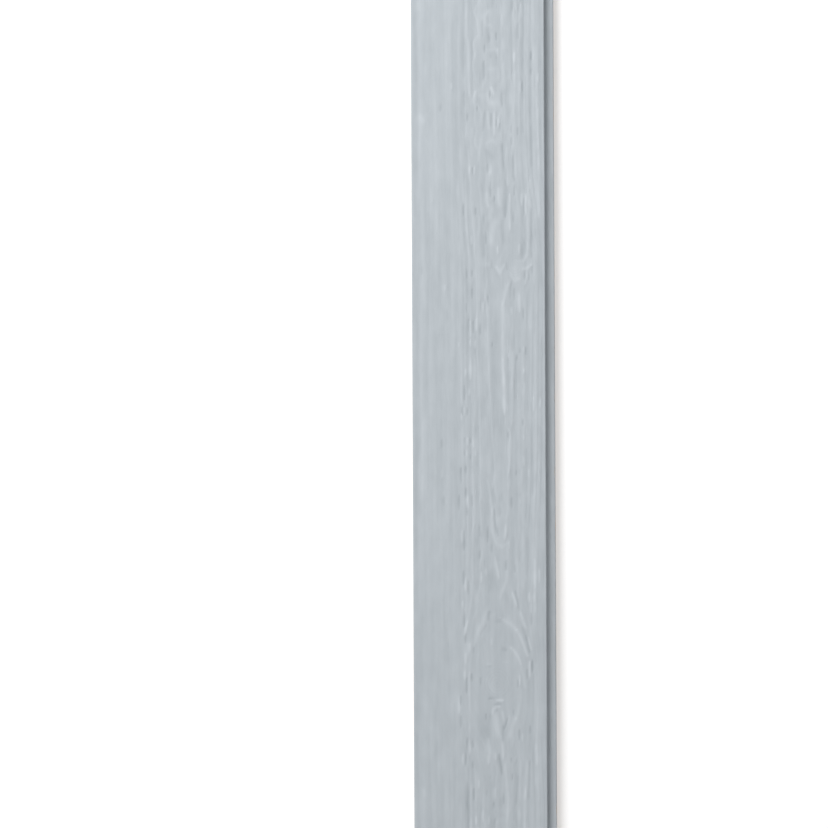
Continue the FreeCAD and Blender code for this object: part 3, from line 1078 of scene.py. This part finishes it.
def knotReachNodes(tree, places):
    # the same knots as knotReach works out
    parts = addNode(tree, "SeparateXYZ")
    plug(tree, parts.inputs[0], places)
    depth = stem["knotPithDepth"]
    grown = sums(tree, "MAXIMUM", sums(tree, "ADD", parts.outputs["Z"], depth - thickness), 1.0)
    grown = sums(tree, "DIVIDE", grown, depth)
    fromPith = sums(tree, "SUBTRACT", parts.outputs["X"], grooveEdge + stem["knotPithAcross"])
    spread = addNode(tree, "CombineXYZ")
    plug(tree, spread.inputs["X"], sums(tree, "DIVIDE", fromPith, grown))
    nearest = None
    for knot in knots:
        beyond = sums(tree, "SUBTRACT", parts.outputs["Y"], knot["along"])
        middle = (knot["across"] - stem["knotPithAcross"], 0, 0)
        away = vectorSums(tree, "SUBTRACT", spread.outputs[0], middle)
        lengthwise = addNode(tree, "CombineXYZ")
        plug(tree, lengthwise.inputs["Y"], sums(tree, "DIVIDE", beyond, grown))
        away = vectorSums(tree, "ADD", away, lengthwise.outputs[0])
        shares = (1 / knot["half"], 1 / (knot["half"] * knot["longer"]), 0)
        reach = vectorSums(tree, "LENGTH", vectorSums(tree, "MULTIPLY", away, shares))
        nearest = reach if nearest is None else sums(tree, "MINIMUM", nearest, reach)
    return nearest


class WoodNodes:
    # the sockets that every finish of the board is mixed from
    def __init__(self, tree):
        coordinates = addNode(tree, "TexCoord").outputs["Object"]
        self.places = vectorSums(tree, "MULTIPLY", coordinates, (1 / mm, 1 / mm, 1 / mm))
        self.fibre = grainNoise(tree, self.places, "fibre")
        self.hair = grainNoise(tree, self.places, "hair")
        self.clouds = grainNoise(tree, self.places, "clouds")
        self.figure = readAttribute(tree, "figure")
        frayed = centred(tree, self.fibre, 0.5, ringLook["ringFray"])
        ring = sums(tree, "FRACT", addUp(tree, readAttribute(tree, "ringAge"), frayed))
        self.lateWood = ramp(tree, ring, ringLook["lateWood"])
        frayed = centred(tree, self.hair, 0.5, ringLook["knotFray"])
        self.reach = addUp(tree, knotReachNodes(tree, self.places), frayed)
        self.knot = sums(tree, "SUBTRACT", 1.0, between(tree, self.reach, *ringLook["knotEdge"]))
        self.knotRing = sums(tree, "FRACT", times(tree, self.reach, stem["knotRings"]))


paint = {
    "dark": (0.384, 0.424, 0.4535),
    "pale": (0.5925, 0.637, 0.6755),
    "overEnds": (0.5565, 0.60, 0.637),  # what reached the sawn ends
    "roughness": 0.52,
    "fibreRoughness": 0.18,
    "middle": 0.48,  # the plain tone, from dark to pale
    # how far each part of the figure shifts it
    "rings": 0.115,
    "marks": 0.285,
    "fibre": 0.115,
    "bands": 0.413,
    "dashes": 0.047,
    "patches": 0.413,
    "clouds": 0.147,
    "knots": 0.107,
    # where the noise makes a pale dash, a dark one, and a cluster of them
    "paleDash": (0.62, 0.74),
    "darkDash": (0.36, 0.24),
    "cluster": (0.45, 0.60),
    # how uneven and how banded it is where no rings show, and what clear rings add to that
    "uneven": (1.0, 0.25),
    "banded": (1.4, -0.6),
    "calm": 0.5,  # how much of that a knot has
    "calmOver": (0.8, 3.0),  # and where that fades, in half widths of the knot
    # heights in mm
    "fibreHeight": 0.08,
    "hairHeight": 0.05,
    "dashHeight": 0.045,
    "bandHeight": 0.115,
}


def paintLayer(tree, wood):
    # returns the paint's colour, its roughness and the height of the brushed grain in mm
    bands = grainNoise(tree, wood.places, "bands")
    patches = grainNoise(tree, wood.places, "patches")
    dashes = grainNoise(tree, wood.places, "dashes")
    pale, dark = between(tree, dashes, *paint["paleDash"]), between(tree, dashes, *paint["darkDash"])
    clusters = between(tree, grainNoise(tree, wood.places, "clusters"), *paint["cluster"])
    dashes = times(tree, sums(tree, "SUBTRACT", pale, dark), clusters, wood.figure)
    calm = mixNumbers(tree, between(tree, wood.reach, *paint["calmOver"]), paint["calm"], 1.0)

    def withFigure(plain, added):
        return times(tree, addUp(tree, plain, times(tree, wood.figure, added)), calm)

    uneven, banded = withFigure(*paint["uneven"]), withFigure(*paint["banded"])
    clear = sums(tree, "SUBTRACT", 1.0, wood.knot)
    tone = addUp(
        tree,
        paint["middle"],
        times(tree, centred(tree, wood.lateWood, 0.4, paint["rings"]), wood.figure, clear),
        times(tree, centred(tree, wood.knotRing, 0.5, paint["knots"]), wood.knot),
        times(tree, readAttribute(tree, "marks"), paint["marks"]),
        times(tree, centred(tree, wood.fibre, 0.5, paint["fibre"]), uneven),
        times(tree, dashes, paint["dashes"]),
        times(tree, centred(tree, bands, 0.5, paint["bands"]), banded),
        times(tree, centred(tree, patches, 0.5, paint["patches"]), uneven),
        centred(tree, wood.clouds, 0.5, paint["clouds"]),
    )
    colour = mixColours(tree, sums(tree, "ADD", tone, 0.0, clamp=True), paint["dark"], paint["pale"])
    rougher = centred(tree, wood.fibre, 0.5, paint["fibreRoughness"])
    roughness = addUp(tree, paint["roughness"], rougher)
    height = addUp(
        tree,
        times(tree, wood.fibre, paint["fibreHeight"]),
        times(tree, wood.hair, paint["hairHeight"]),
        times(tree, dashes, paint["dashHeight"]),
        times(tree, bands, paint["bandHeight"]),
    )
    return colour, roughness, height


spruce = {
    "earlyWood": (0.66, 0.505, 0.33),
    "lateWood": (0.45, 0.285, 0.15),
    "knotWood": (0.24, 0.12, 0.055),
    "knotRim": (0.10, 0.05, 0.025),
    "rimEdge": (0.86, 0.96),
    "roughness": 0.66,
    "lateRoughness": -0.10,
    "lateShare": 0.85,  # how dark the late wood gets
    "fibreShare": 0.35,
    "shade": 0.86,
    "cloudShade": 0.28,
    "hairHeight": 0.04,
    "lateHeight": 0.02,
}


def spruceLayer(tree, wood):
    # bare planed wood: its colour, roughness and height in mm
    fibre = centred(tree, wood.fibre, 0.5, spruce["fibreShare"])
    late = sums(tree, "ADD", times(tree, wood.lateWood, spruce["lateShare"]), fibre, clamp=True)
    colour = mixColours(tree, late, spruce["earlyWood"], spruce["lateWood"])
    heart = mixColours(tree, wood.knotRing, spruce["knotWood"], spruce["lateWood"])
    rim = times(tree, wood.knot, between(tree, wood.reach, *spruce["rimEdge"]))
    colour = mixColours(tree, wood.knot, colour, mixColours(tree, rim, heart, spruce["knotRim"]))
    shade = addUp(tree, spruce["shade"], times(tree, wood.clouds, spruce["cloudShade"]))
    colour = mixColours(tree, 1.0, colour, shade, "MULTIPLY")
    rougher = centred(tree, wood.lateWood, 0.5, spruce["lateRoughness"])
    roughness = addUp(tree, spruce["roughness"], rougher)
    hair = times(tree, wood.hair, spruce["hairHeight"])
    height = addUp(tree, hair, times(tree, late, spruce["lateHeight"]))
    return colour, roughness, height


def finishMaterial(name, colour, roughness, height):
    material = bpy.data.materials[name]
    tree = material.node_tree
    shader = tree.nodes["Principled BSDF"]
    shader.inputs["Specular IOR Level"].default_value = specular
    plug(tree, shader.inputs["Base Color"], colour)
    plug(tree, shader.inputs["Roughness"], roughness)
    bump = addNode(tree, "Bump")
    bump.inputs["Distance"].default_value = mm  # heights are in millimetres
    plug(tree, bump.inputs["Height"], height)
    plug(tree, shader.inputs["Normal"], bump.outputs[0])
    return material


def newTree(name):
    material = bpy.data.materials.new(name)
    material.use_nodes = True
    return material.node_tree


def brushedPaint():
    tree = newTree("brushedPaint")
    return finishMaterial("brushedPaint", *paintLayer(tree, WoodNodes(tree)))


planing = {
    "paintFray": 0.9,  # how ragged the edge of the overspray is
    "paintEdge": (0.42, 0.62),
    "paintRelief": 0.35,  # how much of the brushed relief shows in it
    "paintHeight": 0.05,
    "cutterMarks": (0.01, 0.55, 0.01),  # to a mm
    "cutterDepth": 0.02,
}


def planedSpruce():
    # bare wood, with paint where the sprayer reached
    tree = newTree("planedSpruce")
    wood = WoodNodes(tree)
    colour, roughness, height = spruceLayer(tree, wood)
    painted, paintRoughness, paintHeight = paintLayer(tree, wood)
    frayed = centred(tree, wood.fibre, 0.5, planing["paintFray"])
    cover = between(tree, addUp(tree, readAttribute(tree, "paint"), frayed), *planing["paintEdge"])
    cutterMarks = stretchedNoise(tree, wood.places, planing["cutterMarks"])
    height = addUp(tree, height, times(tree, cutterMarks, planing["cutterDepth"]))
    paintHeight = addUp(tree, times(tree, paintHeight, planing["paintRelief"]), planing["paintHeight"])
    colour = mixColours(tree, cover, colour, painted)
    roughness = mixNumbers(tree, cover, roughness, paintRoughness)
    height = mixNumbers(tree, cover, height, paintHeight)
    return finishMaterial("planedSpruce", colour, roughness, height)


sawing = {
    "poreEdge": (0.35, 0.75),
    "poreShare": 0.35,
    "sawMarks": (1.4, 1.0, 0.05),  # to a mm
    "sawDepth": 0.08,
    "paintFray": 3.0,  # how ragged the lower edge of the paint is, in mm
    "paintUpTo": 1.1,  # how far below the face it reaches
    "paintFrom": 0.3,  # and from where it fades
}


def sawnEnd():
    # end grain, with faint marks of the saw and a little paint over its upper edge
    tree = newTree("sawnEnd")
    wood = WoodNodes(tree)
    colour, roughness, height = spruceLayer(tree, wood)
    pores = between(tree, grainNoise(tree, wood.places, "pores"), *sawing["poreEdge"])
    colour = mixColours(tree, times(tree, pores, sawing["poreShare"]), colour, spruce["lateWood"])
    sawMarks = stretchedNoise(tree, wood.places, sawing["sawMarks"])
    height = addUp(tree, height, times(tree, sawMarks, sawing["sawDepth"]))
    parts = addNode(tree, "SeparateXYZ")
    plug(tree, parts.inputs[0], wood.places)
    ragged = addUp(tree, parts.outputs["Z"], centred(tree, wood.hair, 0.5, sawing["paintFray"]))
    cover = between(tree, ragged, thickness - sawing["paintUpTo"], thickness - sawing["paintFrom"])
    colour = mixColours(tree, cover, colour, paint["overEnds"])
    return finishMaterial("sawnEnd", colour, roughness, height)


print("mixing the finishes")
for material in (brushedPaint(), planedSpruce(), sawnEnd()):
    mesh.materials.append(material)
materialOf = {"face": 0, "other": 1, "nearEnd": 2, "farEnd": 2}
mesh.polygons.foreach_set("material_index", [materialOf[kind] for kind in kinds])
mesh.update()

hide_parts("board")
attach(board, "root")


# Floor, light and background

studio = {
    "floorHalf": 60.0,  # in metres, as the other lengths here are
    "floorGap": 0.05,  # but this one, under the board, is in mm
    "floorTone": (0.78, 0.78, 0.785),
    "floorRoughness": 0.9,
    "nearLift": 0.42,  # added to the floor for the camera, so that it shows white
    "farLift": 0.85,  # and away from the board, where the key light fades
    "liftOver": (0.5, 1.6),  # from the middle of the board
    "sky": 0.40,
    "keyPlace": (-1.7, 1.5, 2.15),
    "keySize": 2.4,
    "keyPower": 88.0,
}


def cameraRay(tree):
    path = addNode(tree, "LightPath")
    seen = sums(tree, "MAXIMUM", path.outputs["Is Camera Ray"], path.outputs["Is Glossy Ray"])
    return sums(tree, "MAXIMUM", seen, path.outputs["Is Transmission Ray"])


def paleFloor():
    half = studio["floorHalf"]
    floorMesh = bpy.data.meshes.new("floor")
    corners = [(-half, -half, 0), (half, -half, 0), (half, half, 0), (-half, half, 0)]
    floorMesh.from_pydata(corners, [], [(0, 1, 2, 3)])
    floor = bpy.data.objects.new("floor", floorMesh)
    floor.location.z = -studio["floorGap"] * mm
    bpy.context.scene.collection.objects.link(floor)
    tree = newTree("paleFloor")
    shader = tree.nodes["Principled BSDF"]
    shader.inputs["Base Color"].default_value = (*studio["floorTone"], 1)
    shader.inputs["Roughness"].default_value = studio["floorRoughness"]
    shader.inputs["Specular IOR Level"].default_value = 0.0
    shader.inputs["Emission Color"].default_value = (1, 1, 1, 1)
    fromBoard = vectorSums(tree, "LENGTH", addNode(tree, "TexCoord").outputs["Object"])
    away = between(tree, fromBoard, *studio["liftOver"])
    lift = mixNumbers(tree, away, studio["nearLift"], studio["farLift"])
    plug(tree, shader.inputs["Emission Strength"], times(tree, cameraRay(tree), lift))
    floorMesh.materials.append(bpy.data.materials["paleFloor"])


def whiteSurround():
    world = bpy.data.worlds.new("whiteSurround")
    bpy.context.scene.world = world
    world.use_nodes = True
    tree = world.node_tree
    background = tree.nodes["Background"]
    background.inputs["Color"].default_value = (1, 1, 1, 1)
    plug(tree, background.inputs["Strength"], mixNumbers(tree, cameraRay(tree), studio["sky"], 1.0))


def softKey():
    data = bpy.data.lights.new("softKey", "AREA")
    data.shape = "DISK"
    data.size = studio["keySize"]
    data.energy = studio["keyPower"]
    key = bpy.data.objects.new("softKey", data)
    key.location = studio["keyPlace"]
    key.rotation_euler = (-Vector(studio["keyPlace"])).to_track_quat("-Z", "Y").to_euler()
    bpy.context.scene.collection.objects.link(key)


print("setting the floor and the light")
paleFloor()
whiteSurround()
softKey()
bpy.context.scene.view_settings.view_transform = "Standard"

print("board finished")
